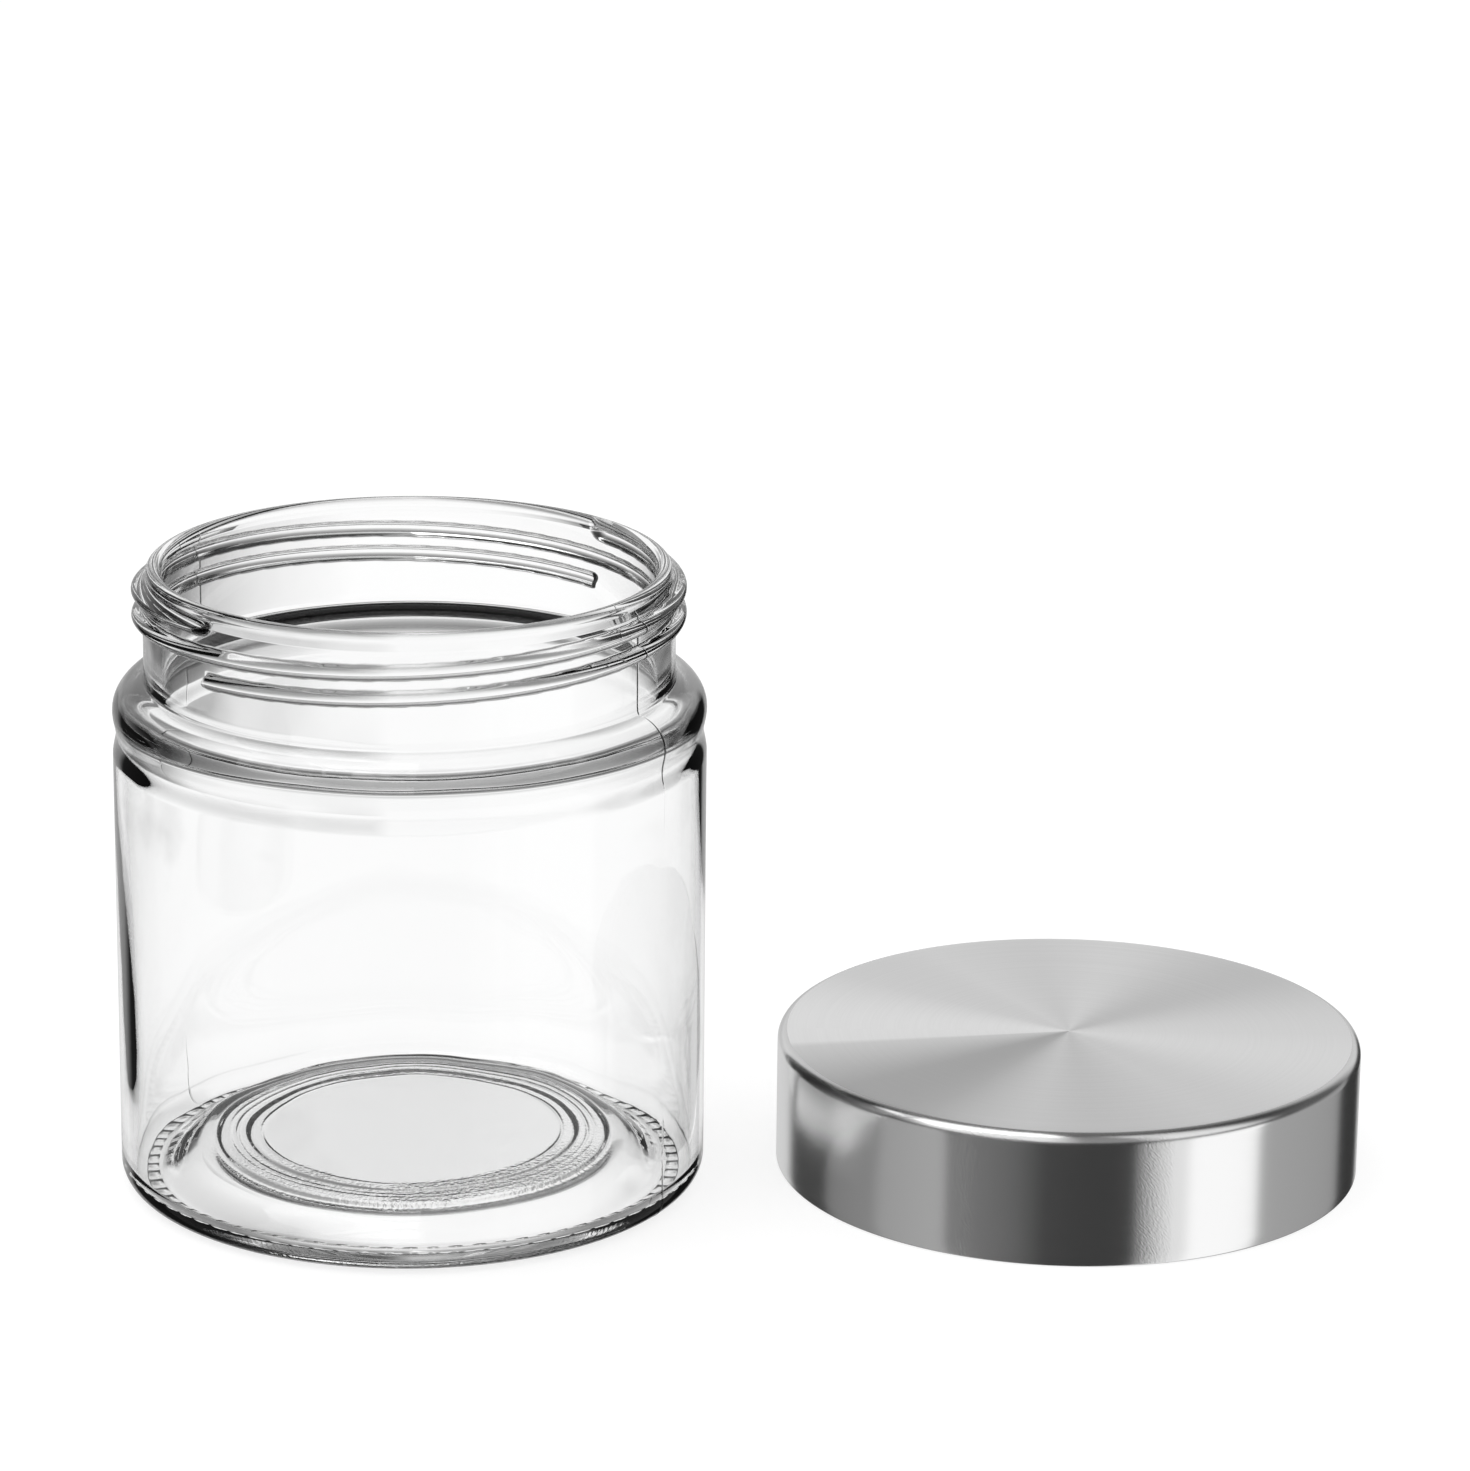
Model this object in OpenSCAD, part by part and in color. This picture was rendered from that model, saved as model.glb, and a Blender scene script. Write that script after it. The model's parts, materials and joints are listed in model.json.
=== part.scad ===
// Wide-mouth storage jar of clear glass with a two-start screw thread,
// and its steel-clad screw lid, which lies beside it on the same table.
// The origin is the centre of the jar's base. All sizes are in millimetres.

/* [Body] */
// Outside diameter of the body
body_d = 110; // [106:0.5:130]
// Height from the table to the top of the lip
jar_h = 118.6; // [100:0.1:200]
// Thickness of the glass in the body's wall
body_wall = 2.4; // [2:0.1:3.4]
// Radius of the rounded heel between wall and base
heel_r = 4; // [3:0.5:7]

/* [Base] */
// Height of the raised inner floor above the table
floor_h = 8.2; // [7.4:0.1:12]
// Diameter of the level part of the inner floor
floor_d = 75; // [70:1:84]
// Height of the gutter that runs round the inner floor
gutter_h = 2.8; // [2.4:0.1:4.5]
// Width of the gutter's level bottom
gutter_w = 0.6; // [0.3:0.1:3]
// Radius of the inner corner between gutter and wall
floor_corner_r = 3; // [2:0.5:6]
// Width of the flat ring that the jar stands on
bearing_w = 3.6; // [3.4:0.1:5]
// Height of the hollow under the base
pushup_h = 6.4; // [2:0.1:7]
// Radius of the outer ring step under the base
ring_outer_r = 36.5; // [34:0.5:38.5]
// Radius of the inner ring step under the base
ring_inner_r = 30.5; // [20:0.5:33]
// Height and width of each ring step
ring_step = 0.6; // [0.3:0.1:0.8]
// Number of stippling notches in the bearing ring
notch_count = 72; // [24:4:80]
// Length of a notch along the radius
notch_len = 3.2; // [1.5:0.1:3.4]
// Width of a notch
notch_w = 1; // [0.6:0.1:1.4]
// Depth of a notch
notch_depth = 0.3; // [0.2:0.05:0.5]

/* [Shoulder] */
// Height of the rounded shoulder's ellipse from its widest level to its crown
shoulder_rise = 6.05; // [4:0.05:10]
// Angle that the shoulder's arc turns before it meets the neck
shoulder_angle = 80; // [50:1:86]
// Height of the shallow waist groove below the shoulder
waist_h = 8.4; // [6:0.2:12]
// Depth of the waist groove
waist_depth = 0.6; // [0.2:0.1:1]
// Height over which the inside widens from the neck to the body
inner_shoulder_h = 7; // [5:0.5:14]
// Depth at which the inside starts to widen, below the foot of the neck
inner_shoulder_drop = 0.5; // [0:0.1:2]

/* [Neck] */
// Outside diameter of the neck between the threads
neck_d = 98.2; // [94:0.1:100]
// Height from the foot of the neck to the top of the lip
neck_h = 21.4; // [19:0.1:24]
// Radius of the fillet at the foot of the neck
neck_fillet = 2.2; // [0.6:0.1:3]
// Diameter of the mouth
mouth_d = 91.4; // [88:0.1:92]
// Set-in of the lip from the neck's outside
lip_step = 0.75; // [0.4:0.05:1.2]
// Height of the lip above its step
lip_h = 2.3; // [1.6:0.1:2.6]
// Swell of the neck's wall at its middle
neck_swell = 0.02; // [0.01:0.01:0.1]

/* [Thread] */
// Number of thread starts
thread_starts = 2; // [1:1:3]
// Climb of one thread in a full turn
thread_lead = 9.6; // [9:0.1:11]
// Turn that each thread bead covers
thread_turn = 365; // [180:5:390]
// Bearing of the first thread's upper end
thread_start = 46; // [0:1:360]
// Depth of the upper thread end's centre below the top of the lip
thread_drop = 3.2; // [2.8:0.1:3.6]
// Height of a thread bead above the neck
thread_h = 2; // [1.4:0.1:2.2]
// Width of a thread bead at its foot
thread_w = 3; // [2.4:0.1:3.2]
// Length over which a bead rounds off at each end
thread_end = 2.6; // [1.5:0.1:5]

/* [Lid shell] */
// Height of the lid
lid_h = 25.5; // [25:0.1:27]
// Thickness of the steel
steel_t = 0.7; // [0.4:0.05:1]
// Outside radius of the bend between top and skirt
lid_bend_r = 2.2; // [1.6:0.1:4]

/* [Lid insert] */
// Gap between the insert's bore and the crests of the jar's thread
thread_clear = 0.4; // [0.2:0.05:0.6]
// Thickness of the insert's wall behind its thread
insert_wall = 2.9; // [1.8:0.1:4]
// Thickness of the insert's top plate
insert_plate = 1.2; // [0.8:0.1:1.5]
// Height of the insert's lower edge above the lid's rim
insert_rise = 3; // [2:0.1:4]
// Glue gap between the insert's wall and the shell
glue_gap = 0.1; // [0.05:0.05:0.2]
// Height of the insert's thread ridge above its bore
ridge_h = 1.8; // [1.2:0.1:2]
// Width of the ridge at its foot
ridge_w = 2.4; // [1.6:0.1:2.6]
// Turn that each ridge covers
ridge_turn = 270; // [90:15:300]
// Widening of the insert's bore at its middle
insert_swell = 0.02; // [0.01:0.01:0.1]

/* [Seal] */
// Thickness of the seal ring
seal_t = 2; // [1.5:0.1:2.5]
// Width of the seal ring
seal_w = 7; // [5:0.5:9]
// Gap between the seal ring and the insert's bore
seal_clear = 0.3; // [0.2:0.05:0.5]
// Radius of the seal ring's rounded edges
seal_edge_r = 0.5; // [0.2:0.1:0.7]

/* [Place of the lid] */
// Gap between the jar and the lid that lies beside it
lid_gap = 14; // [5:1:60]
// Bearing of the lid from the jar's axis
lid_bearing = 3.56; // [-30:0.01:30]

/* [Hidden] */
$fn = 96;
// Straight steps in a quarter turn of an outline's arc
arc_steps = 10;
// Steps along one full turn of a thread
turn_steps = 48;
// Steps that round off each end of a thread
end_steps = 4;
// Steps of a barrelled wall
barrel_steps = 6;
// Depth to which a bead or ridge is rooted in its wall
root_depth = 1.4;
// Overrun of a cut past a surface
over = 0.5;
// Least share of a bead's section that is left at its very end
end_share = 0.2;

body_r = body_d / 2;
inner_r = body_r - body_wall;
neck_r = neck_d / 2;
mouth_r = mouth_d / 2;
lip_r = neck_r - lip_step;
lip_round = (lip_r - mouth_r) / 2;
bearing_out_r = body_r - heel_r;
bearing_in_r = bearing_out_r - bearing_w;
floor_r = floor_d / 2;
gutter_r = inner_r - floor_corner_r - gutter_w;

// The shoulder's arc reaches from the body to the neck
shoulder_w = (body_r - neck_r) / (1 - cos(shoulder_angle));
neck_foot_z = jar_h - neck_h;
neck_top_z = jar_h - lip_h - lip_step;
bulge_z = neck_foot_z - shoulder_rise * sin(shoulder_angle);
waist_z = bulge_z - waist_h / 2;
inner_neck_z = neck_foot_z - inner_shoulder_drop;
inner_top_z = inner_neck_z - inner_shoulder_h;

// The thread's crest sets the size of the whole lid
thread_r = neck_r + thread_h;
insert_r = thread_r + thread_clear;
insert_out_r = insert_r + insert_wall;
shell_in_r = insert_out_r + glue_gap;
lid_r = shell_in_r + steel_t;
plate_z = lid_h - steel_t - insert_plate;
seal_z = plate_z - seal_t;
seal_r = insert_r - seal_clear;
inner_bend_r = lid_bend_r - steel_t;
thread_pitch = thread_lead / thread_starts;
thread_top_z = jar_h - thread_drop;
// With the lid closed the seal lies on the lip, and the ridges run midway between the beads
ridge_top_z = seal_z - thread_drop - thread_pitch / 2;
lid_distance = body_r + lid_gap + lid_r;

function arc(c, rx, ry, from, to) =
    let (n = max(2, ceil(abs(to - from) / 90 * arc_steps)))
    [for (i = [0:n]) let (a = from + (to - from) * i / n) c + [rx * cos(a), ry * sin(a)]];

// A corner rounded by a parabola that leaves a and reaches c
function corner(a, b, c) =
    [for (i = [0:arc_steps]) let (t = i / arc_steps)
        a * pow(1 - t, 2) + b * 2 * t * (1 - t) + c * pow(t, 2)];

// An S-shaped line whose ends stand upright
function ogee(a, b) =
    [for (i = [0:arc_steps]) let (t = i / arc_steps)
        [a[0] + (b[0] - a[0]) * (1 - cos(180 * t)) / 2, a[1] + (b[1] - a[1]) * t]];

// An S-shaped line whose ends lie level
function slope(a, b) =
    [for (i = [0:arc_steps]) let (t = i / arc_steps)
        [a[0] + (b[0] - a[0]) * t, a[1] + (b[1] - a[1]) * (1 - cos(180 * t)) / 2]];

// A barrelled wall, ends left out
function barrel(r, swell, from, to) =
    [for (i = [1:barrel_steps - 1]) let (t = i / barrel_steps)
        [r + swell * sin(180 * t), from + (to - from) * t]];

// The shallow groove that runs round the body below its shoulder
function waist() =
    [for (i = [0:2 * arc_steps]) let (t = i / arc_steps - 1)
        [body_r - waist_depth * (1 + cos(180 * t)) / 2, waist_z + waist_h / 2 * t]];

function jar_outside() =
    let (centre = [body_r - shoulder_w, bulge_z],
         shoulder = arc(centre, shoulder_w, shoulder_rise, 0, shoulder_angle))
    concat(
        arc([bearing_out_r, heel_r], heel_r, heel_r, -90, 0),
        waist(),
        [for (i = [1:len(shoulder) - 2]) shoulder[i]],
        corner(shoulder[len(shoulder) - 2], [neck_r, neck_foot_z], [neck_r, neck_foot_z + neck_fillet]),
        barrel(neck_r, neck_swell, neck_foot_z + neck_fillet, neck_top_z),
        [[neck_r, neck_top_z], [lip_r, jar_h - lip_h]],
        arc([lip_r - lip_round, jar_h - lip_round], lip_round, lip_round, 0, 180));

function jar_inside() =
    concat(
        ogee([mouth_r, inner_neck_z], [inner_r, inner_top_z]),
        arc([inner_r - floor_corner_r, gutter_h + floor_corner_r],
            floor_corner_r, floor_corner_r, 0, -90),
        slope([gutter_r, gutter_h], [floor_r, floor_h]),
        [[0, floor_h]]);

function underside() =
    let (outer_z = pushup_h - 2 * ring_step, inner_z = pushup_h - ring_step)
    concat(
        [[0, pushup_h], [ring_inner_r, pushup_h], [ring_inner_r + ring_step, inner_z],
         [ring_outer_r, inner_z], [ring_outer_r + ring_step, outer_z]],
        slope([ring_outer_r + 2 * ring_step, outer_z], [bearing_in_r, 0]));

// Upper half and lower half of a bead's section, as shares of its height and of half its width
bead_shares = [[0, -1], [0.62, -0.74], [0.95, -0.36], [0.95, 0.36], [0.62, 0.74], [0, 1]];
// Section of a ridge, flatter at its crest than a bead
ridge_shares = [[0, -1], [0.92, -0.5], [1, -0.3], [1, 0.3], [0.92, 0.5], [0, 1]];

// Turns along a thread, closer together where its ends round off
function thread_turns(turn, end_turn) =
    let (n = ceil((turn - 2 * end_turn) / 360 * turn_steps))
    concat(
        [for (i = [0:end_steps - 1]) end_turn * i / end_steps],
        [for (i = [0:n]) end_turn + (turn - 2 * end_turn) * i / n],
        [for (i = [1:end_steps]) turn - end_turn + end_turn * i / end_steps]);

function end_scale(a, turn, end_turn) =
    let (t = min(1, min(a, turn - a) / end_turn))
    max(end_share, sqrt(1 - pow(1 - t, 2)));

// A thread that winds down to the right from its upper end at the top level.
// side is 1 for a bead on the outside of a wall and -1 for a ridge inside one.
module thread(r, h, w, turn, top, side, shares) {
    end_turn = thread_end / r * 180 / PI;
    turns = thread_turns(turn, end_turn);
    section = concat([[-root_depth, -w / 2]], [for (s = shares) [s[0] * h, s[1] * w / 2]],
        [[-root_depth, w / 2]]);
    n = len(section);
    points = [for (a = turns) let (k = end_scale(a, turn, end_turn))
        for (p = section) let (
            x = p[0] < 0 ? p[0] : p[0] * k,
            radius = r + side * x,
            z = top - thread_lead * a / 360 + p[1] * k)
        [radius * cos(-a), radius * sin(-a), z]];
    last = (len(turns) - 1) * n;
    quads = [for (i = [0:len(turns) - 2], j = [0:n - 1])
        let (k = (j + 1) % n) [i * n + j, i * n + k, i * n + n + k, i * n + n + j]];
    triangles = [for (q = quads, half = [0, 1]) half == 0 ? [q[0], q[1], q[2]] : [q[0], q[2], q[3]]];
    caps = [for (j = [1:n - 2], cap = [0, 1]) cap == 0 ? [0, j + 1, j] : [last, last + j, last + j + 1]];
    faces = concat(triangles, caps);
    polyhedron(points, side > 0 ? [for (f = faces) [f[2], f[1], f[0]]] : faces);
}

module notches() {
    for (i = [0:notch_count - 1])
        rotate(360 * i / notch_count)
            translate([bearing_in_r + (bearing_w - notch_len) / 2, -notch_w / 2, -over])
                cube([notch_len, notch_w, over + notch_depth]);
}

module jar_glass() {
    color([0.86, 0.93, 0.92, 0.45])
    difference() {
        union() {
            rotate_extrude() polygon(concat(jar_outside(), jar_inside(), underside()));
            for (i = [0:thread_starts - 1])
                rotate(thread_start + 360 * i / thread_starts)
                    thread(neck_r, thread_h, thread_w, thread_turn, thread_top_z, 1, bead_shares);
        }
        notches();
    }
}

// Puts a piece of the lid beside the jar
module beside() {
    rotate(lid_bearing) translate([lid_distance, 0, 0]) rotate(-lid_bearing) children();
}

module lid_shell() {
    edge = steel_t / 2;
    outline = concat(
        arc([shell_in_r + edge, edge], edge, edge, -180, 0),
        arc([lid_r - lid_bend_r, lid_h - lid_bend_r], lid_bend_r, lid_bend_r, 0, 90),
        [[0, lid_h], [0, lid_h - steel_t]],
        arc([shell_in_r - inner_bend_r, lid_h - lid_bend_r], inner_bend_r, inner_bend_r, 90, 0));
    color([0.72, 0.73, 0.74])
    beside() rotate_extrude() polygon(outline);
}

module thread_insert() {
    top = plate_z + insert_plate;
    outline = concat(
        [[insert_r, insert_rise], [insert_out_r, insert_rise]],
        arc([insert_out_r - inner_bend_r, top - inner_bend_r], inner_bend_r, inner_bend_r, 0, 90),
        [[0, top], [0, plate_z], [insert_r, plate_z]],
        barrel(insert_r, insert_swell, plate_z, insert_rise));
    color([0.92, 0.92, 0.9])
    beside() {
        rotate_extrude() polygon(outline);
        for (i = [0:thread_starts - 1])
            rotate(thread_start + 360 * i / thread_starts)
                thread(insert_r, ridge_h, ridge_w, ridge_turn, ridge_top_z, -1, ridge_shares);
    }
}

module seal_ring() {
    inner = seal_r - seal_w;
    outline = concat(
        arc([seal_r - seal_edge_r, seal_z + seal_edge_r], seal_edge_r, seal_edge_r, -90, 0),
        [[seal_r, plate_z], [inner, plate_z]],
        arc([inner + seal_edge_r, seal_z + seal_edge_r], seal_edge_r, seal_edge_r, -180, -90));
    color([0.95, 0.95, 0.93])
    beside() rotate_extrude() polygon(outline);
}

jar_glass();
lid_shell();
thread_insert();
seal_ring();
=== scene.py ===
"""A wide-mouth glass jar and its steel-clad screw lid: finishes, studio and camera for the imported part."""
import json
import math
import bpy
import numpy as np
from mathutils import Matrix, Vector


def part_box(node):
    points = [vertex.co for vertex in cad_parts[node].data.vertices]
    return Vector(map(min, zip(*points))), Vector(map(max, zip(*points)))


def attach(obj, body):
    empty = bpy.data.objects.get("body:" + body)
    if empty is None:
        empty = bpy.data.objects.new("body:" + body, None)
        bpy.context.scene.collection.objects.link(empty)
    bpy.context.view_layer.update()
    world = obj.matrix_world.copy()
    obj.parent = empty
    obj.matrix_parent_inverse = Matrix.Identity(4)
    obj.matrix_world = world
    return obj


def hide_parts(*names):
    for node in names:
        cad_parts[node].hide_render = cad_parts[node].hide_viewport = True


MM = 0.001
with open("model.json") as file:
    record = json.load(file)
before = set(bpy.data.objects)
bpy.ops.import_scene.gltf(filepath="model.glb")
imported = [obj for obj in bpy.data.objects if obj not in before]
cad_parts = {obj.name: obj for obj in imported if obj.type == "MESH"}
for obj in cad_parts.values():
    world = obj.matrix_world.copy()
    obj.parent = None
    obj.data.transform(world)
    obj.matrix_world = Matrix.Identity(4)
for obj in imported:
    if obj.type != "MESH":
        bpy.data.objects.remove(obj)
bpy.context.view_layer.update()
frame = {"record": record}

# What the frame says of the jar and the lid, in millimetres
INSERT_LOW, INSERT_HIGH = (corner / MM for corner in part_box("thread_insert"))
SEAL_LOW, SEAL_HIGH = (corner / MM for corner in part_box("seal_ring"))
TURN = next(joint for joint in frame["record"]["behaviour"]["joints"] if joint["name"] == "lid_turn")
LID_CENTRE = (TURN["pos_m"][0] / MM, TURN["pos_m"][1] / MM)
JAR_R = 55.0
JAR_H = (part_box("jar_glass")[1] / MM).z
LID_R = 55.2
LID_H = (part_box("lid_shell")[1] / MM).z

# Sizes of the glass, in millimetres and degrees
WALL = 2.4
HEEL_R = 4.0
FLOOR_H = 8.2
FLOOR_R = 37.5
GUTTER_H = 2.8
GUTTER_R = 49.0
FLOOR_CORNER_R = 3.0
BEARING_W = 3.6
PUSHUP_H = 6.4
RING_OUTER_R = 36.5
RING_INNER_R = 30.5
RING_STEP = 0.6
RIPPLE_RADII = (28.2, 33.0, 34.5, 39.5)
RIPPLE_HEIGHT = 0.12
RIPPLE_W = 0.7
NOTCHES = 72
NOTCH_LEN = 3.2
NOTCH_W = 1.0
NOTCH_DEPTH = 0.5
NOTCH_EDGE = 0.1
SHOULDER_RISE = 6.05
SHOULDER_ANGLE = 80.0
WAIST_H = 8.4
WAIST_DEPTH = 0.6
INNER_SHOULDER_H = 7.0
INNER_SHOULDER_DROP = 0.5
NECK_R = 49.1
NECK_H = 21.4
NECK_FILLET = 2.2
MOUTH_R = 45.7
LIP_STEP = 0.75
LIP_H = 2.3
THREAD_STARTS = 2
THREAD_LEAD = 9.6
THREAD_TURN = 365.0
THREAD_START = 46.0
THREAD_DROP = 3.2
THREAD_HEIGHT = 2.0
THREAD_W = 3.0
THREAD_END = 2.6
THREAD_POWER = 0.6
SEAM_BEARINGS = (-30.0, 150.0)
SEAM_W = 0.3
SEAM_HEIGHT = 0.1
SEAM_TOP = 80.0
SEAM_LOW = 16.0
SEAM_FADE = 8.0
WALL_WAVE = 0.12
FLOOR_WAVE = 0.13

# Sizes of the lid's pieces, in millimetres and degrees
STEEL_T = 0.7
LID_BEND_R = 2.2
INSERT_R = 51.5
INSERT_PLATE = 1.2
INSERT_GAP = 0.1
INSERT_EDGE = 0.4
BORE_START = 0.6
RIDGE_HEIGHT = 1.8
RIDGE_W = 2.4
RIDGE_TURN = 270.0
SEAL_W = 7.0
SEAL_EDGE_R = 0.5

# A face belongs to the brushed top where it lies this near to it and faces upward this far
TOP_DEPTH = 0.05
TOP_RISE = 0.9

# Numbers of columns round a turned piece, and on each side of a seam
JAR_COLUMNS = 480
LID_COLUMNS = 360
SEAM_COLUMNS = 6

# The studio, in metres, watts and degrees
FLOOR_REACH = 3.0
FLOOR_DROP = 0.0001
LAMP_SIZE = (1.2, 0.9)
LAMP_POWER = 6.0
LAMP_PLACE = (-0.5, -0.2, 1.3)
LAMP_TILT = (12, -22)
CAMERA_PLACE = (0.06009, -1.02373, 0.40072)
CAMERA_DOWN = 17.10
CAMERA_ROLL = 0.6
SENSOR_MM = 36.0
LENS_MM = 141.62


def arc(centre, rx, ry, start, stop, steps):
    """Points of an elliptical arc, angles in degrees, both ends included."""
    a = np.radians(np.linspace(start, stop, steps + 1))
    return [(centre[0] + rx * c, centre[1] + ry * s) for c, s in zip(np.cos(a), np.sin(a))]


def line(start, stop, steps):
    """Points of a straight line, both ends included."""
    return [tuple(p) for p in np.linspace(start, stop, steps + 1)]


def corner(a, b, c, steps):
    """A corner at b rounded by a parabola from a to c."""
    t = np.linspace(0, 1, steps + 1)[:, None]
    a, b, c = np.array(a), np.array(b), np.array(c)
    return [tuple(p) for p in a * (1 - t) ** 2 + 2 * b * t * (1 - t) + c * t ** 2]


def ogee(a, b, steps):
    """An S-shaped line whose ends stand upright."""
    t = np.linspace(0, 1, steps + 1)
    r = a[0] + (b[0] - a[0]) * (1 - np.cos(np.pi * t)) / 2
    return list(zip(r, a[1] + (b[1] - a[1]) * t))


def slope(a, b, steps):
    """An S-shaped line whose ends lie level."""
    t = np.linspace(0, 1, steps + 1)
    z = a[1] + (b[1] - a[1]) * (1 - np.cos(np.pi * t)) / 2
    return list(zip(a[0] + (b[0] - a[0]) * t, z))


def joined(*parts):
    """One outline from several, without points that repeat where they meet, and the owner of each point."""
    points, owners = [], []
    for owner, part in parts:
        for p in part:
            if points and math.dist(points[-1], p) < 1e-6:
                continue
            points.append(p)
            owners.append(owner)
    return np.array(points), np.array(owners)


def spin(name, r, z, angles, centre=(0.0, 0.0)):
    """A mesh of revolution from tables of radius and height, with a row for each ring of points.
    An end ring of radius zero becomes one point; without one, the last ring joins the first."""
    rows, cols = r.shape
    ids = np.zeros((rows, cols), int)
    points = []
    for i in range(rows):
        if r[i].max() < 1e-9:
            ids[i] = len(points)
            points.append((centre[0], centre[1], z[i, 0]))
            continue
        ids[i] = len(points) + np.arange(cols)
        points += zip(centre[0] + r[i] * np.cos(angles), centre[1] + r[i] * np.sin(angles), z[i])
    pairs = [(i, i + 1) for i in range(rows - 1)]
    if r[0].max() > 0 and r[-1].max() > 0:
        pairs.append((rows - 1, 0))
    faces = []
    for i, k in pairs:
        ring = np.stack([ids[i], np.roll(ids[i], -1), np.roll(ids[k], -1), ids[k]], axis=1)
        faces += [list(dict.fromkeys(f)) for f in ring.tolist()]
    # The outline's signed area says which side of the faces lies outside
    area = np.sum(r[:, 0] * np.roll(z[:, 0], -1) - np.roll(r[:, 0], -1) * z[:, 0])
    if area < 0:
        faces = [f[::-1] for f in faces]
    mesh = bpy.data.meshes.new(name)
    mesh.from_pydata((np.array(points) * MM).tolist(), [], faces)
    mesh.validate()
    mesh.shade_smooth()
    piece = bpy.data.objects.new(name, mesh)
    bpy.context.collection.objects.link(piece)
    return piece


def thread(angle, z, top, start, turn, width, end):
    """Share of a thread's full height at each angle in degrees and height, for a thread that
    winds down to the right from its upper end. end is the angle over which it rounds off."""
    share = np.zeros(np.broadcast(angle, z).shape)
    for i in range(THREAD_STARTS):
        a = np.mod(start + 360 * i / THREAD_STARTS - angle, 360)
        near = np.clip(np.minimum(a, turn - a) / end, 0, 1)
        scale = np.sqrt(np.clip(1 - (1 - near) ** 2, 1e-6, 1))
        u = (z - top + THREAD_LEAD * a / 360) / (width / 2 * scale)
        rise = scale * np.abs(np.cos(np.pi / 2 * u)) ** THREAD_POWER
        share = np.maximum(share, np.where((a <= turn) & (np.abs(u) < 1), rise, 0))
    return share


def jar_columns():
    """Angles round the jar in degrees, closer together at the mould seams."""
    angles = np.arange(JAR_COLUMNS) * 360 / JAR_COLUMNS
    count = np.arange(-SEAM_COLUMNS, SEAM_COLUMNS + 1)
    fine = count * SEAM_W / 3 / JAR_R * 180 / math.pi
    extra = np.concatenate([bearing + fine for bearing in SEAM_BEARINGS])
    # The even columns leave room for the fine ones
    near = np.min([np.abs(np.mod(angles - b + 180, 360) - 180) for b in SEAM_BEARINGS], axis=0)
    keep = angles[near > fine[-1] * 1.3]
    return np.sort(np.mod(np.concatenate([keep, extra]), 360))


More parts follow.
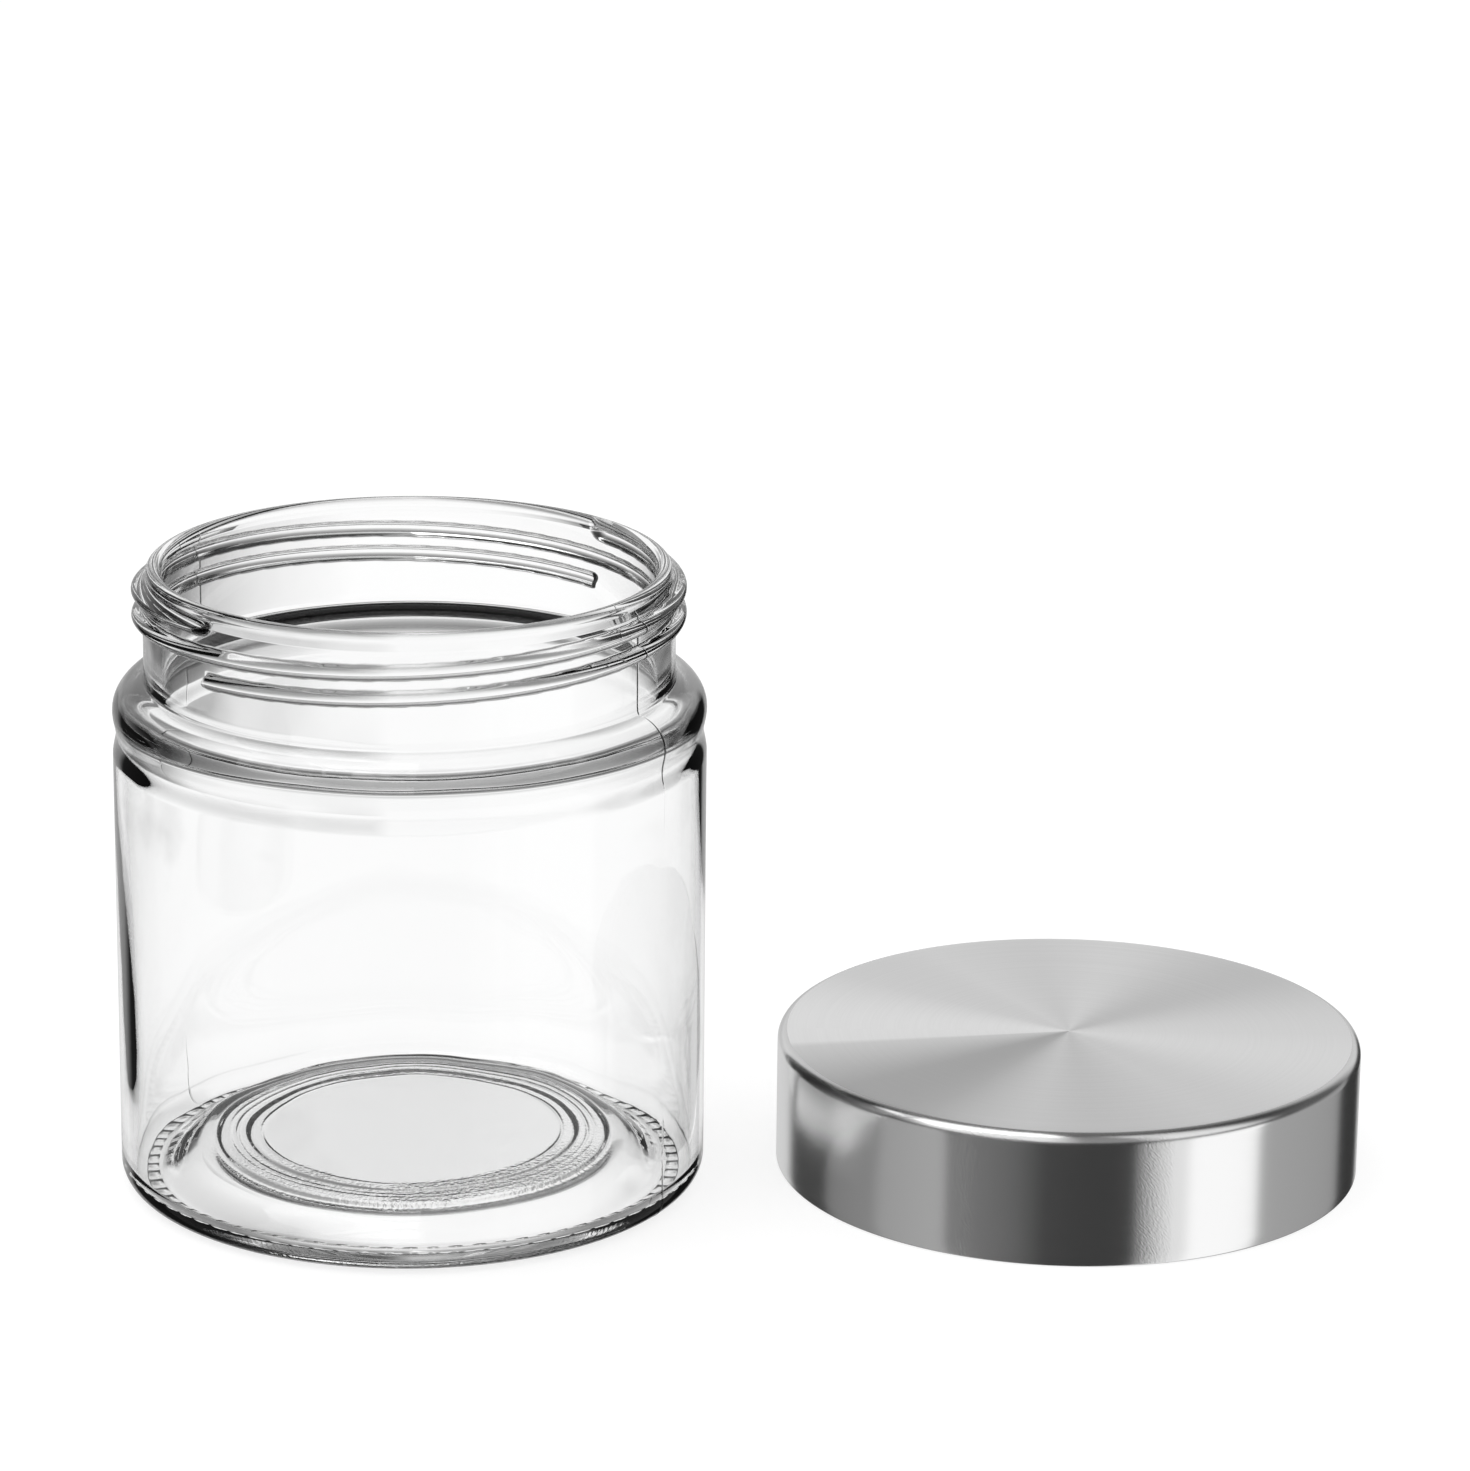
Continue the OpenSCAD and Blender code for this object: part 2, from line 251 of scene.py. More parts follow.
def jar_outline():
    """The glass from the middle of its floor up the inside, over the lip, down the outside and back
    under the base, as points of radius and height with the stretch that each belongs to."""
    inner_r = JAR_R - WALL
    neck_foot = JAR_H - NECK_H
    neck_top = JAR_H - LIP_H - LIP_STEP
    lip_r = NECK_R - LIP_STEP
    lip_round = (lip_r - MOUTH_R) / 2
    shoulder_w = (JAR_R - NECK_R) / (1 - math.cos(math.radians(SHOULDER_ANGLE)))
    bulge = neck_foot - SHOULDER_RISE * math.sin(math.radians(SHOULDER_ANGLE))
    bearing_out = JAR_R - HEEL_R
    bearing_in = bearing_out - BEARING_W
    notch_out = (bearing_out + bearing_in + NOTCH_LEN) / 2
    notch_in = notch_out - NOTCH_LEN
    outer_z, inner_z = PUSHUP_H - 2 * RING_STEP, PUSHUP_H - RING_STEP
    inner_foot = neck_foot - INNER_SHOULDER_DROP
    t = np.linspace(1, -1, 25)
    waist_r = JAR_R - WAIST_DEPTH * (1 + np.cos(np.pi * t)) / 2
    waist = list(zip(waist_r, bulge - WAIST_H / 2 + WAIST_H / 2 * t))
    shoulder = arc((JAR_R - shoulder_w, bulge), shoulder_w, SHOULDER_RISE, SHOULDER_ANGLE, 0, 24)
    foot = corner((NECK_R, neck_foot + NECK_FILLET), (NECK_R, neck_foot), shoulder[1], 8)
    return joined(
        ("floor", line((0, FLOOR_H), (FLOOR_R, FLOOR_H), 14)),
        ("floor", slope((FLOOR_R, FLOOR_H), (GUTTER_R, GUTTER_H), 24)),
        ("inside", arc((inner_r - FLOOR_CORNER_R, GUTTER_H + FLOOR_CORNER_R),
                       FLOOR_CORNER_R, FLOOR_CORNER_R, -90, 0, 20)),
        ("inside", line((inner_r, GUTTER_H + FLOOR_CORNER_R), (inner_r, inner_foot - INNER_SHOULDER_H), 14)),
        ("inside", ogee((inner_r, inner_foot - INNER_SHOULDER_H), (MOUTH_R, inner_foot), 30)),
        ("mouth", line((MOUTH_R, inner_foot), (MOUTH_R, JAR_H - lip_round), 8)),
        ("lip", arc((MOUTH_R + lip_round, JAR_H - lip_round), lip_round, lip_round, 180, 0, 16)),
        ("lip", [(lip_r, JAR_H - LIP_H)]),
        ("neck", line((NECK_R, neck_top), (NECK_R, neck_foot + NECK_FILLET), 84)),
        ("outside", foot),
        ("outside", shoulder[1:]),
        ("outside", waist),
        ("outside", line((JAR_R, bulge - WAIST_H), (JAR_R, HEEL_R), 14)),
        ("outside", arc((bearing_out, HEEL_R), HEEL_R, HEEL_R, 0, -90, 18)),
        ("bearing", [(notch_out + NOTCH_EDGE, 0), (notch_out, 0)]),
        ("notch", line((notch_out - NOTCH_EDGE, 0), (notch_in + NOTCH_EDGE, 0), 3)),
        ("bearing", [(notch_in, 0), (notch_in - NOTCH_EDGE, 0)]),
        ("under", slope((bearing_in, 0), (RING_OUTER_R + 2 * RING_STEP, outer_z), 20)),
        ("under", line((RING_OUTER_R + RING_STEP, outer_z), (RING_OUTER_R, inner_z), 4)),
        ("under", line((RING_OUTER_R - RING_STEP, inner_z), (RING_INNER_R + 2 * RING_STEP, inner_z), 40)),
        ("under", line((RING_INNER_R + RING_STEP, inner_z), (RING_INNER_R, PUSHUP_H), 4)),
        ("under", line((RING_INNER_R - RING_STEP, PUSHUP_H), (RIPPLE_RADII[0] - RIPPLE_W, PUSHUP_H), 50)),
        ("under", line((RIPPLE_RADII[0] - 2 * RIPPLE_W, PUSHUP_H), (0, PUSHUP_H), 10)))


def make_jar():
    """The jar's glass, with its thread, mould seams, notched bearing ring and slightly uneven inside."""
    outline, owner = jar_outline()
    degrees = jar_columns()
    angles = np.radians(degrees)
    r = np.repeat(outline[:, :1], len(degrees), axis=1)
    z = np.repeat(outline[:, 1:], len(degrees), axis=1)
    end = math.degrees(THREAD_END / NECK_R)
    neck = owner == "neck"
    r[neck] += THREAD_HEIGHT * thread(degrees[None, :], z[neck], JAR_H - THREAD_DROP, THREAD_START,
                                      THREAD_TURN, THREAD_W, end)
    off = np.min([np.abs(np.mod(degrees - b + 180, 360) - 180) for b in SEAM_BEARINGS], axis=0)
    seam = SEAM_HEIGHT * np.exp(-(np.radians(off) * JAR_R / SEAM_W * 2) ** 2)
    outer = (owner == "outside") | neck
    height = outline[outer, 1:]
    seen = np.clip((height - SEAM_TOP) / SEAM_FADE, 0, 1) + np.clip((SEAM_LOW - height) / SEAM_FADE, 0, 1)
    r[outer] += seam * seen - SEAM_HEIGHT
    phase = np.mod(degrees * NOTCHES / 360, 1)
    dent = np.abs(phase - 0.5) * 2 * math.pi * (JAR_R - HEEL_R) / NOTCHES < NOTCH_W / 2
    z[owner == "notch"] += NOTCH_DEPTH * dent
    under = owner == "under"
    for i, ripple in enumerate(RIPPLE_RADII):
        uneven = 0.6 + 0.4 * np.sin(3 * angles + 2 * i) * np.sin(5 * angles + i)
        z[under] += RIPPLE_HEIGHT * uneven * np.exp(-((r[under] - ripple) / RIPPLE_W * 2) ** 2)
    floor = owner == "floor"
    out = r[floor] / JAR_R
    z[floor] += FLOOR_WAVE * out ** 2 * (np.sin(3 * angles + 5 * out) + 0.6 * np.sin(8 * angles - 12 * out))
    inside = owner == "inside"
    up = (z[inside] - FLOOR_H) / JAR_H
    fade = np.clip(up * 6, 0, 1) * np.clip((0.8 - up) * 6, 0, 1)
    wave = (np.sin(5 * angles + 3 * up) + 0.6 * np.sin(9 * angles - 5 * up + 1)
            + 0.4 * np.sin(14 * angles + 8 * up))
    r[inside] += WALL_WAVE * wave * fade
    return spin("jar_glass_blown", r, z, angles)


def turned(*parts):
    """Tables of radius and height for a piece of the lid, their angles and the stretch of each row."""
    outline, owner = joined(*parts)
    angles = np.radians(np.arange(LID_COLUMNS) * 360 / LID_COLUMNS)
    r = np.repeat(outline[:, :1], LID_COLUMNS, axis=1)
    z = np.repeat(outline[:, 1:], LID_COLUMNS, axis=1)
    return r, z, angles, owner


def make_shell():
    """The drawn steel cup, with a rounded bend between its top and its skirt."""
    edge = STEEL_T / 2
    inner = LID_R - STEEL_T
    bend = LID_BEND_R - STEEL_T
    r, z, angles, _ = turned(
        ("under", line((0, LID_H - STEEL_T), (inner - bend, LID_H - STEEL_T), 10)),
        ("under", arc((inner - bend, LID_H - LID_BEND_R), bend, bend, 90, 0, 8)),
        ("under", line((inner, LID_H - LID_BEND_R), (inner, edge), 6)),
        ("skirt", arc((inner + edge, edge), edge, edge, 180, 360, 12)),
        ("skirt", line((LID_R, edge), (LID_R, LID_H - LID_BEND_R), 12)),
        ("skirt", arc((LID_R - LID_BEND_R, LID_H - LID_BEND_R), LID_BEND_R, LID_BEND_R, 0, 90, 16)),
        ("top", line((LID_R - LID_BEND_R, LID_H), (0, LID_H), 24)))
    return spin("lid_shell_spun", r, z, angles, LID_CENTRE)


def make_insert():
    """The plastic inner cap with its two inside ridges."""
    low, high = INSERT_LOW.z, INSERT_HIGH.z
    outer = LID_R - STEEL_T - INSERT_GAP
    edge = low + INSERT_EDGE
    bend = LID_BEND_R - STEEL_T
    plate = high - INSERT_PLATE
    # With the lid screwed down, its ridges run midway between the beads of the jar's thread
    top = SEAL_LOW.z - THREAD_DROP - THREAD_LEAD / THREAD_STARTS / 2
    r, z, angles, owner = turned(
        ("outer", line((0, high), (outer - bend, high), 8)),
        ("outer", arc((outer - bend, high - bend), bend, bend, 90, 0, 8)),
        ("outer", line((outer, high - bend), (outer, edge), 6)),
        ("edge", corner((outer, edge), (outer, low), (outer - INSERT_EDGE, low), 4)),
        ("edge", corner((INSERT_R + INSERT_EDGE, low), (INSERT_R, low), (INSERT_R, edge), 4)),
        ("bore", line((INSERT_R, low + BORE_START), (INSERT_R, plate), 90)),
        ("plate", line((INSERT_R, plate), (0, plate), 10)))
    end = math.degrees(THREAD_END / INSERT_R)
    bore = owner == "bore"
    r[bore] -= RIDGE_HEIGHT * thread(np.degrees(angles)[None, :], z[bore], top, THREAD_START,
                                     RIDGE_TURN, RIDGE_W, end)
    return spin("thread_insert_moulded", r, z, angles, LID_CENTRE)


def make_seal():
    """The soft ring under the top plate."""
    high, low = SEAL_HIGH.z, SEAL_LOW.z
    outer = (SEAL_HIGH.x - SEAL_LOW.x) / 2
    inner = outer - SEAL_W
    edge = SEAL_EDGE_R
    r, z, angles, _ = turned(
        ("top", line((inner, high), (outer, high), 3)),
        ("side", arc((outer - edge, low + edge), edge, edge, 0, -90, 6)),
        ("side", arc((inner + edge, low + edge), edge, edge, -90, -180, 6)))
    return spin("seal_ring_moulded", r, z, angles, LID_CENTRE)


class Nodes:
    """A short way to write nodes: each call adds what it names, sets the inputs and returns the output."""

    def __init__(self, tree):
        self.tree = tree
        tree.nodes.clear()

    def add(self, kind, out=0, inputs=None, **settings):
        node = self.tree.nodes.new(kind)
        for key, value in settings.items():
            setattr(node, key, value)
        for key, value in (inputs or {}).items():
            if isinstance(value, bpy.types.NodeSocket):
                self.tree.links.new(value, node.inputs[key])
            else:
                node.inputs[key].default_value = value
        return node.outputs[out] if len(node.outputs) else node

    def math(self, operation, a, b=0.0, c=0.0):
        return self.add("ShaderNodeMath", operation=operation, inputs={0: a, 1: b, 2: c})

    def length(self, x, y):
        """The length of a flat vector."""
        return self.math("SQRT", self.math("ADD", self.math("MULTIPLY", x, x), self.math("MULTIPLY", y, y)))

    def ramp(self, value, stops):
        """A colour ramp from pairs of place and grey level."""
        output = self.add("ShaderNodeValToRGB", inputs={0: value})
        ramp = output.node.color_ramp
        while len(ramp.elements) > 1:
            ramp.elements.remove(ramp.elements[0])
        for i, (place, level) in enumerate(stops):
            element = ramp.elements[0] if i == 0 else ramp.elements.new(place)
            element.position = place
            element.color = (level, level, level, 1)
        return output


def material(name):
    """A new material and the writer of its nodes."""
    made = bpy.data.materials.new(name)
    made.use_nodes = True
    return made, Nodes(made.node_tree)


def glass_material():
    """Clear glass whose surfaces wave a little; the tint keeps its reflections faint on a white ground."""
    made, nodes = material("clear_glass")
    place = nodes.add("ShaderNodeTexCoord", out="Object")
    ripple = nodes.add("ShaderNodeTexNoise", inputs={"Vector": place, "Scale": 60.0, "Detail": 2.0})
    bump = nodes.add("ShaderNodeBump", inputs={"Height": ripple, "Strength": 0.04, "Distance": 0.001})
    # The mould leaves the rings under the base grainy, most of all in front
    x, y, z = nodes.add("ShaderNodeSeparateXYZ", inputs={0: place}).node.outputs
    far = nodes.length(x, y)
    rings = nodes.ramp(nodes.math("MULTIPLY", far, 10.0), [
        (0.265, 0.0), (0.285, 1.0), (0.36, 1.0), (0.385, 0.0)])
    low = nodes.ramp(nodes.math("MULTIPLY", z, 100.0), [(0.66, 1.0), (0.7, 0.0)])
    patches = nodes.add("ShaderNodeTexNoise", inputs={"Vector": place, "Scale": 45.0, "Detail": 1.0})
    where = nodes.ramp(patches, [(0.42, 0.3), (0.56, 1.0)])
    front = nodes.ramp(nodes.math("MULTIPLY_ADD", y, 10.0, 0.5), [(0.26, 1.0), (0.46, 0.1)])
    strength = nodes.math("MULTIPLY", nodes.math("MULTIPLY", rings, low), 0.7)
    strength = nodes.math("MULTIPLY", strength, nodes.math("MULTIPLY", where, front))
    grain = nodes.add("ShaderNodeTexNoise", inputs={"Vector": place, "Scale": 1300.0, "Detail": 2.0})
    bump = nodes.add("ShaderNodeBump", inputs={
        "Height": grain, "Strength": strength, "Distance": 0.0005, "Normal": bump})
    shader = nodes.add("ShaderNodeBsdfPrincipled", inputs={
        "Base Color": (0.998, 0.999, 0.999, 1), "Roughness": 0.0, "IOR": 1.5,
        "Transmission Weight": 1.0, "Specular Tint": (0.6, 0.6, 0.6, 1), "Normal": bump})
    nodes.add("ShaderNodeOutputMaterial", inputs={"Surface": shader})
    return made


def polar(nodes):
    """Distance from the lid's axis in metres, bearing round it in turns from the right, and height."""
    place = nodes.add("ShaderNodeTexCoord", out="Object")
    centred = nodes.add("ShaderNodeVectorMath", operation="SUBTRACT", inputs={
        0: place, 1: (LID_CENTRE[0] * MM, LID_CENTRE[1] * MM, 0)})
    x, y, z = nodes.add("ShaderNodeSeparateXYZ", inputs={0: centred}).node.outputs
    far = nodes.length(x, y)
    bearing = nodes.math("DIVIDE", nodes.math("ARCTAN2", y, x), 2 * math.pi)
    return far, bearing, z


def steel_top_material():
    """Circularly brushed steel, whose fine rings draw each reflection into bands that meet in the middle.
    Its colour also holds painted reflection, in sectors round the disc.
    """
    made, nodes = material("steel_top")
    far, bearing, _ = polar(nodes)
    # Noise that changes within 0.6 mm outward and hardly round the disc
    ring = nodes.add("ShaderNodeCombineXYZ", inputs={
        0: nodes.math("MULTIPLY", far, 1600.0), 1: nodes.math("MULTIPLY", bearing, 3.0)})
    lines = nodes.add("ShaderNodeTexNoise", inputs={
        "Vector": ring, "Scale": 1.0, "Detail": 4.0, "Roughness": 0.7})
    rough = nodes.add("ShaderNodeMapRange", inputs={"Value": lines, "To Min": 0.3, "To Max": 0.42})
    bump = nodes.add("ShaderNodeBump", inputs={"Height": lines, "Strength": 0.05, "Distance": 0.0002})
    # The brush lines vary the tone at random, and the low range makes the whole top darker than the skirt's
    # steel: painted shade
    grain = nodes.add("ShaderNodeMapRange", inputs={"Value": lines, "To Min": 0.66, "To Max": 0.8})
    # Painted reflection: the colour is lighter and darker in sectors round the disc, in place of the bands
    # that the brushing reflects; 0 is the left, 0.25 the front, 0.75 the back
    painted_reflection_sectors = nodes.ramp(nodes.math("ADD", bearing, 0.5), [
        (0.0, 0.96), (0.024, 0.96), (0.03, 0.78), (0.1, 0.62), (0.16, 0.74), (0.22, 1.0), (0.27, 1.1),
        (0.33, 1.15), (0.42, 0.98), (0.5, 0.86), (0.6, 0.88), (0.67, 1.0), (0.75, 1.2), (0.83, 1.22),
        (0.9, 1.0), (1.0, 0.96)])
    tint = nodes.math("MULTIPLY", grain, painted_reflection_sectors)
    colour = nodes.add("ShaderNodeCombineColor", inputs={0: tint, 1: tint, 2: tint})
    tangent = nodes.add("ShaderNodeTangent", direction_type="RADIAL", axis="Z")
    shader = nodes.add("ShaderNodeBsdfPrincipled", inputs={
        "Base Color": colour, "Metallic": 1.0, "Roughness": rough, "Anisotropic": 0.85,
        "Anisotropic Rotation": 0.25, "Tangent": tangent, "Normal": bump})
    nodes.add("ShaderNodeOutputMaterial", inputs={"Surface": shader})
    return made


def steel_skirt_material():
    """Steel polished round its side, which draws each reflection out upright; the colour of its bend holds
    painted shade.
    """
    made, nodes = material("steel_skirt")
    _, bearing, z = polar(nodes)
    # Noise that changes within 0.7 mm upward and hardly round the skirt
    place = nodes.add("ShaderNodeCombineXYZ", inputs={
        0: nodes.math("MULTIPLY", bearing, 40.0), 1: nodes.math("MULTIPLY", z, 1500.0)})
    lines = nodes.add("ShaderNodeTexNoise", inputs={"Vector": place, "Scale": 1.0, "Detail": 4.0})
    rough = nodes.add("ShaderNodeMapRange", inputs={"Value": lines, "To Min": 0.17, "To Max": 0.22})
    bump = nodes.add("ShaderNodeBump", inputs={"Height": lines, "Strength": 0.02, "Distance": 0.0001})
    # Two worn patches at the front with fine slanting scratches
    worn = nodes.ramp(nodes.math("ADD", bearing, 0.5), [
        (0.178, 0.0), (0.188, 1.0), (0.212, 1.0), (0.222, 0.0), (0.276, 0.0), (0.284, 0.8), (0.296, 0.8),
        (0.302, 0.0)])
    slant = nodes.add("ShaderNodeCombineXYZ", inputs={
        0: nodes.math("MULTIPLY_ADD", bearing, 300.0, nodes.math("MULTIPLY", z, -900.0)),
        1: nodes.math("MULTIPLY_ADD", z, 2600.0, nodes.math("MULTIPLY", bearing, 900.0))})
    scratch = nodes.add("ShaderNodeTexNoise", inputs={"Vector": slant, "Scale": 1.0, "Detail": 3.0})
    bump = nodes.add("ShaderNodeBump", inputs={
        "Height": scratch, "Strength": nodes.math("MULTIPLY", worn, 0.25), "Distance": 0.0002,
        "Normal": bump})
    # Painted shade: the colour of the bend darkens towards the brushed top, to dim its reflection there
    painted_bend_shade = nodes.add("ShaderNodeMapRange", inputs={
        "Value": z, "From Min": (LID_H - LID_BEND_R * 0.8) * MM, "From Max": LID_H * MM,
        "To Min": 0.97, "To Max": 0.5})
    colour = nodes.add("ShaderNodeCombineColor", inputs={0: painted_bend_shade, 1: painted_bend_shade, 2: painted_bend_shade})
    tangent = nodes.add("ShaderNodeTangent", direction_type="RADIAL", axis="Z")
    shader = nodes.add("ShaderNodeBsdfPrincipled", inputs={
        "Base Color": colour, "Metallic": 1.0, "Roughness": rough, "Anisotropic": 0.9,
        "Anisotropic Rotation": 0.25, "Tangent": tangent, "Normal": bump})
    nodes.add("ShaderNodeOutputMaterial", inputs={"Surface": shader})
    return made


def plastic_material(name, colour, roughness, scale):
    """A plain moulded material with a fine grain, whose scale is in waves to the metre."""
    made, nodes = material(name)
    place = nodes.add("ShaderNodeTexCoord", out="Object")
    grain = nodes.add("ShaderNodeTexNoise", inputs={"Vector": place, "Scale": scale, "Detail": 5.0})
    bump = nodes.add("ShaderNodeBump", inputs={"Height": grain, "Strength": 0.15, "Distance": 0.0001})
    rough = nodes.add("ShaderNodeMapRange", inputs={
        "Value": grain, "To Min": roughness - 0.06, "To Max": roughness + 0.06})
    shader = nodes.add("ShaderNodeBsdfPrincipled", inputs={
        "Base Color": colour, "Roughness": rough, "Subsurface Weight": 0.1, "Subsurface Scale": 0.002,
        "Normal": bump})
    nodes.add("ShaderNodeOutputMaterial", inputs={"Surface": shader})
    return made


def dress(piece, body, node, slot, *materials):
    """Gives a piece its materials and puts it on its body, in the place of the frame's node."""
    for made in materials:
        piece.data.materials.append(made)
    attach(piece, body)
    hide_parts(node)


def make_floor():
    """A white floor that keeps the shadows and is clear to rays that the glass or the steel sends down."""
    mesh = bpy.data.meshes.new("studio_floor")
    corners = [(FLOOR_REACH * x, FLOOR_REACH * y, 0) for x, y in ((-1, -1), (1, -1), (1, 1), (-1, 1))]
    mesh.from_pydata(corners, [], [(0, 1, 2, 3)])
    floor = bpy.data.objects.new("studio_floor", mesh)
    bpy.context.collection.objects.link(floor)
    floor.location.z = -FLOOR_DROP
    made, nodes = material("studio_floor")
    path = nodes.add("ShaderNodeLightPath").node.outputs
    paint = nodes.add("ShaderNodeBsdfDiffuse", inputs={"Color": (0.3, 0.3, 0.3, 1)})
    glow = nodes.add("ShaderNodeEmission", inputs={"Color": (1, 1, 1, 1), "Strength": 0.78})
    seen = nodes.add("ShaderNodeAddShader", inputs={0: paint, 1: glow})
    pale = nodes.add("ShaderNodeBsdfDiffuse", inputs={"Color": (0.8, 0.8, 0.8, 1)})
    clear = nodes.add("ShaderNodeBsdfTransparent")
    solid = nodes.add("ShaderNodeMixShader", inputs={0: path["Is Camera Ray"], 1: pale, 2: seen})
    passed = nodes.math("MAXIMUM", path["Is Transmission Ray"], path["Is Glossy Ray"])
    surface = nodes.add("ShaderNodeMixShader", inputs={0: passed, 1: solid, 2: clear})
    nodes.add("ShaderNodeOutputMaterial", inputs={"Surface": surface})
    mesh.materials.append(made)


def reflected(nodes, bearing, height, y):
    """What the steel and the glass reflect: stretches of light and dark round about, and others overhead."""
    around = nodes.ramp(bearing, [
        (0.09, 0.64), (0.11, 0.05), (0.185, 0.06), (0.192, 0.2), (0.265, 0.24), (0.275, 0.33),
        (0.355, 0.37), (0.362, 0.16), (0.43, 0.12), (0.47, 0.04), (0.565, 0.035), (0.578, 0.35),
        (0.6, 0.6), (0.604, 0.95), (0.61, 0.7), (0.625, 0.8), (0.632, 1.0), (0.712, 1.0),
        (0.72, 0.36), (0.86, 0.3), (0.87, 0.03), (0.94, 0.03), (0.95, 0.64)])
    # Overhead it is pale right at the back, and in front in two stretches above a dark rim
    rear = nodes.ramp(bearing, [(0.09, 1.0), (0.15, 0.12), (0.85, 0.12), (0.91, 1.0)])
    over = nodes.ramp(height, [(0.5, 0.7), (0.6, 0.95), (0.74, 1.0), (0.8, 0.8), (0.88, 0.3), (1.0, 0.2)])
    stretch = nodes.ramp(bearing, [
        (0.28, 0.08), (0.34, 1.0), (0.47, 1.0), (0.51, 0.3), (0.58, 0.3), (0.6, 1.0), (0.7, 1.0),
        (0.76, 0.1)])
    rim = nodes.ramp(height, [(0.5, 0.06), (0.62, 0.06), (0.7, 1.0), (0.97, 1.0), (1.0, 0.3)])
    halves = nodes.add("ShaderNodeMapRange", inputs={"Value": y, "From Min": -0.1, "From Max": 0.15})
    above = nodes.add("ShaderNodeMixRGB", inputs={
        0: halves, 1: nodes.math("MULTIPLY", stretch, rim), 2: nodes.math("MULTIPLY", rear, over)})
    rise = nodes.add("ShaderNodeMapRange", inputs={"Value": height, "From Min": 0.5, "From Max": 0.56})
    return nodes.add("ShaderNodeMixRGB", inputs={0: rise, 1: around, 2: above})


def seen_through(nodes, bearing, height, y):
    """What shows through the glass: a white ground, dark at both sides above it and dimmer higher up."""
    side = nodes.ramp(bearing, [
        (0.0, 1.0), (0.012, 1.0), (0.03, 0.3), (0.05, 0.02), (0.17, 0.02), (0.22, 0.2), (0.3, 0.5),
        (0.7, 0.5), (0.78, 0.05), (0.86, 0.04), (0.945, 0.1), (0.975, 0.6), (0.99, 1.0)])
    ground = nodes.ramp(height, [(0.2, 0.4), (0.33, 1.0), (0.345, 1.0), (0.365, 0.0)])
    level = nodes.ramp(height, [
        (0.05, 1.0), (0.1, 0.6), (0.18, 0.85), (0.24, 1.0), (0.27, 1.0), (0.42, 1.0), (0.48, 0.6),
        (0.58, 0.3), (0.66, 0.15), (0.8, 0.2), (0.93, 0.5)])
    behind = nodes.math("MULTIPLY", nodes.math("MAXIMUM", side, ground), level)
    before = nodes.ramp(height, [
        (0.06, 1.0), (0.12, 0.3), (0.25, 0.4), (0.32, 1.0), (0.42, 0.9), (0.46, 0.06), (0.5, 0.06),
        (0.7, 0.4), (1.0, 0.7)])
    turn = nodes.add("ShaderNodeMapRange", inputs={"Value": y, "From Min": -0.25, "From Max": 0.2})
    return nodes.add("ShaderNodeMixRGB", inputs={0: turn, 1: before, 2: behind})


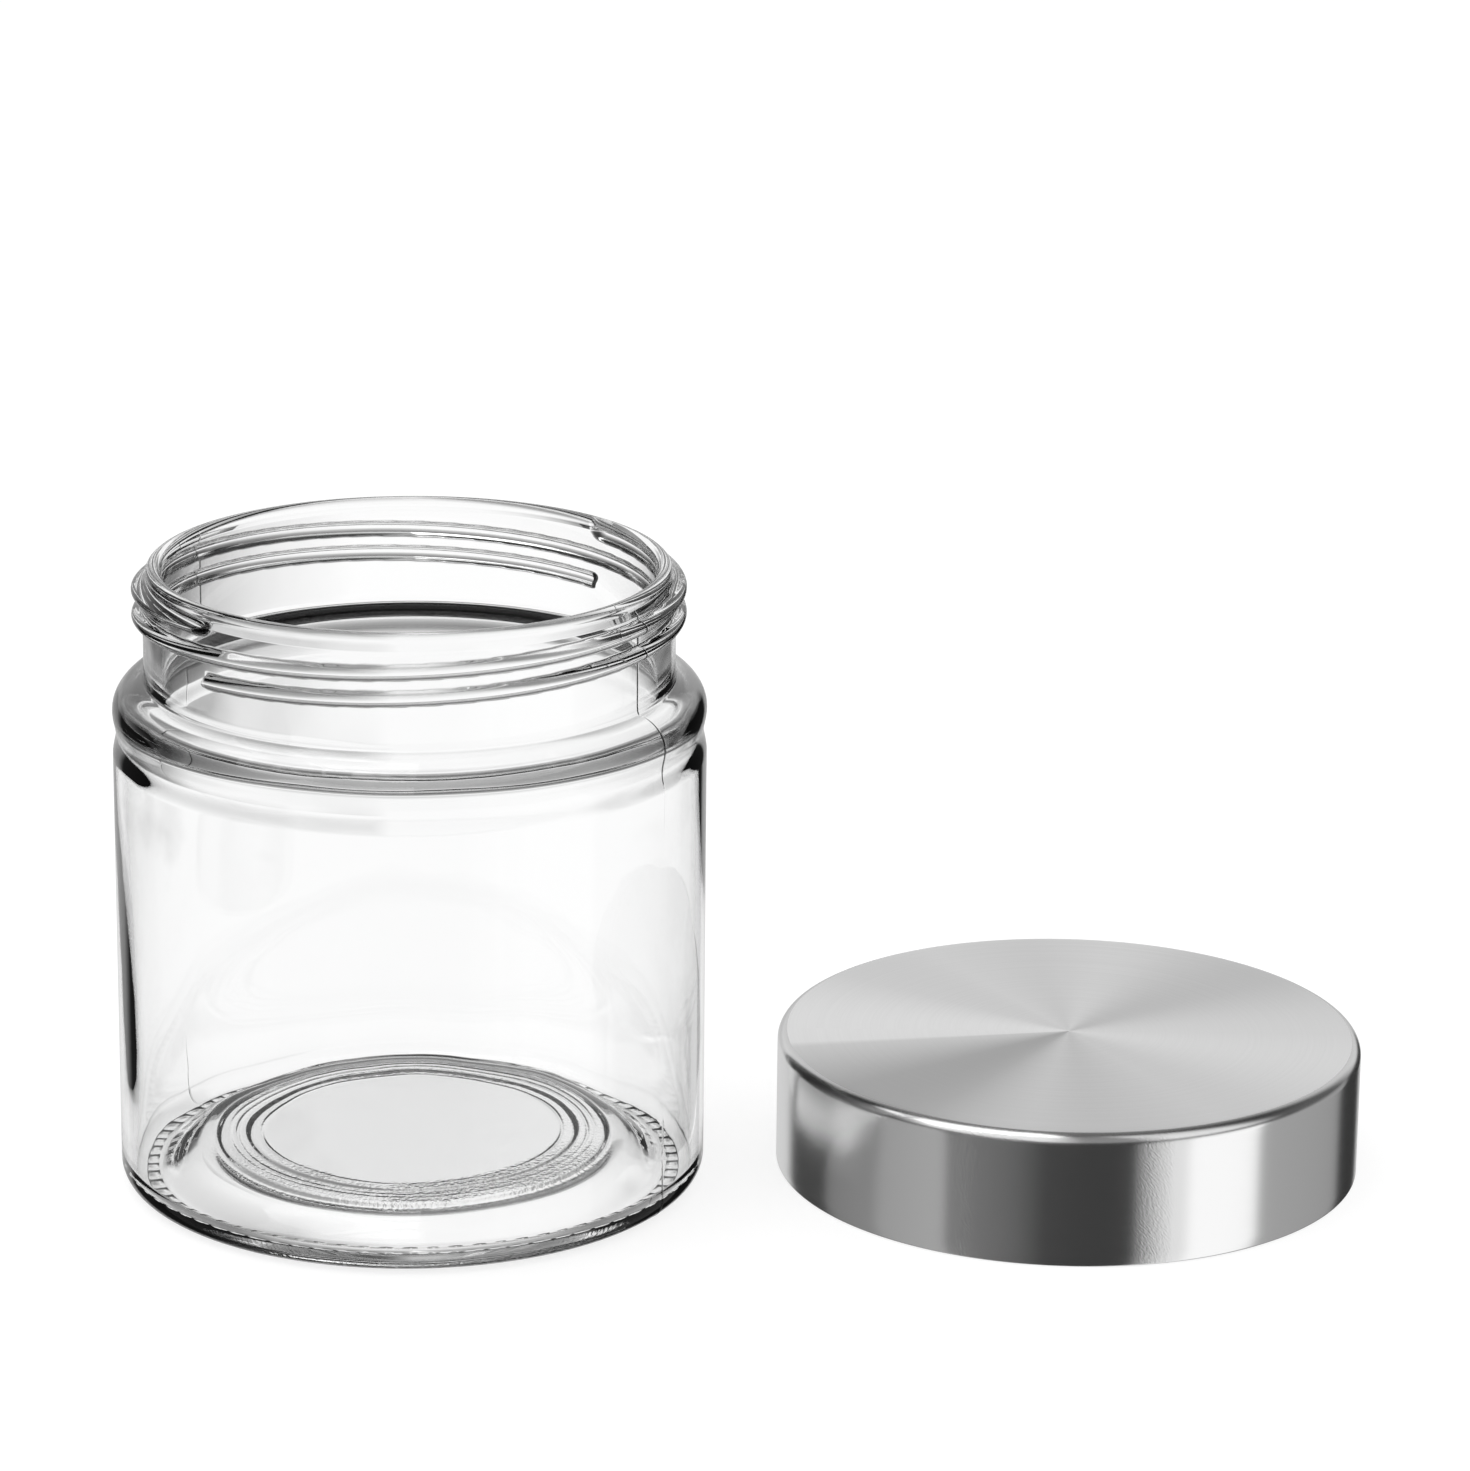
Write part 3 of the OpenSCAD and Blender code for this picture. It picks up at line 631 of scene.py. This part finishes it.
def make_world():
    """White to the camera, even on matt surfaces, and its own surroundings for each other kind of ray.
    Bearing runs from 0 at the back by 0.25 at the left, 0.5 at the camera's side and 0.75 at the right
    to 1 at the back again, and height from 0 straight down by 0.5 level to 1 straight up."""
    world = bpy.data.worlds.new("studio")
    bpy.context.scene.world = world
    world.use_nodes = True
    nodes = Nodes(world.node_tree)
    path = nodes.add("ShaderNodeLightPath").node.outputs
    way = nodes.add("ShaderNodeTexCoord", out="Generated")
    x, y, z = nodes.add("ShaderNodeSeparateXYZ", inputs={0: way}).node.outputs
    angle = nodes.math("ARCTAN2", x, nodes.math("MULTIPLY", y, -1.0))
    bearing = nodes.math("ADD", nodes.math("DIVIDE", angle, 2 * math.pi), 0.5)
    height = nodes.math("MULTIPLY_ADD", z, 0.5, 0.5)
    matt = nodes.add("ShaderNodeMixRGB", inputs={
        0: path["Is Glossy Ray"], 1: (0.85, 0.85, 0.85, 1), 2: reflected(nodes, bearing, height, y)})
    inner = nodes.add("ShaderNodeMixRGB", inputs={
        0: path["Is Transmission Ray"], 1: matt, 2: seen_through(nodes, bearing, height, y)})
    colour = nodes.add("ShaderNodeMixRGB", inputs={0: path["Is Camera Ray"], 1: inner, 2: (1, 1, 1, 1)})
    back = nodes.add("ShaderNodeBackground", inputs={"Color": colour, "Strength": 1.0})
    nodes.add("ShaderNodeOutputWorld", inputs={"Surface": back})


def make_lamp():
    """One soft lamp above, a little to the left."""
    light = bpy.data.lights.new("softbox", "AREA")
    light.shape = "RECTANGLE"
    light.size, light.size_y = LAMP_SIZE
    light.energy = LAMP_POWER
    lamp = bpy.data.objects.new("softbox", light)
    bpy.context.collection.objects.link(lamp)
    lamp.location = LAMP_PLACE
    lamp.rotation_euler = (math.radians(LAMP_TILT[0]), math.radians(LAMP_TILT[1]), 0)


def make_camera():
    """The photograph's view: a long lens a metre away that looks down on the jar and the lid."""
    data = bpy.data.cameras.new("camera")
    data.sensor_fit = "HORIZONTAL"
    data.sensor_width = SENSOR_MM
    data.lens = LENS_MM
    camera = bpy.data.objects.new("camera", data)
    bpy.context.collection.objects.link(camera)
    camera.location = CAMERA_PLACE
    camera.rotation_euler = (math.radians(90 - CAMERA_DOWN), 0, 0)
    bpy.context.view_layer.update()
    camera.matrix_world = camera.matrix_world @ Matrix.Rotation(math.radians(CAMERA_ROLL), 4, "Z")
    bpy.context.scene.camera = camera


dress(make_jar(), "jar", "jar_glass", "clear_glass", glass_material())
shell = make_shell()
dress(shell, "lid", "lid_shell", "brushed_steel", steel_top_material(), steel_skirt_material())
# The flat top is brushed, and the bend, the skirt and the inside are polished
for face in shell.data.polygons:
    on_top = face.center.z > (LID_H - TOP_DEPTH) * MM and face.normal.z > TOP_RISE
    face.material_index = 0 if on_top else 1
dress(make_insert(), "lid", "thread_insert", "insert_plastic",
      plastic_material("insert_plastic", (0.8, 0.8, 0.78, 1), 0.4, 900.0))
dress(make_seal(), "seal", "seal_ring", "seal_silicone",
      plastic_material("seal_silicone", (0.75, 0.75, 0.73, 1), 0.6, 1500.0))
make_floor()
make_world()
make_lamp()
make_camera()
bpy.context.scene.view_settings.view_transform = "Standard"
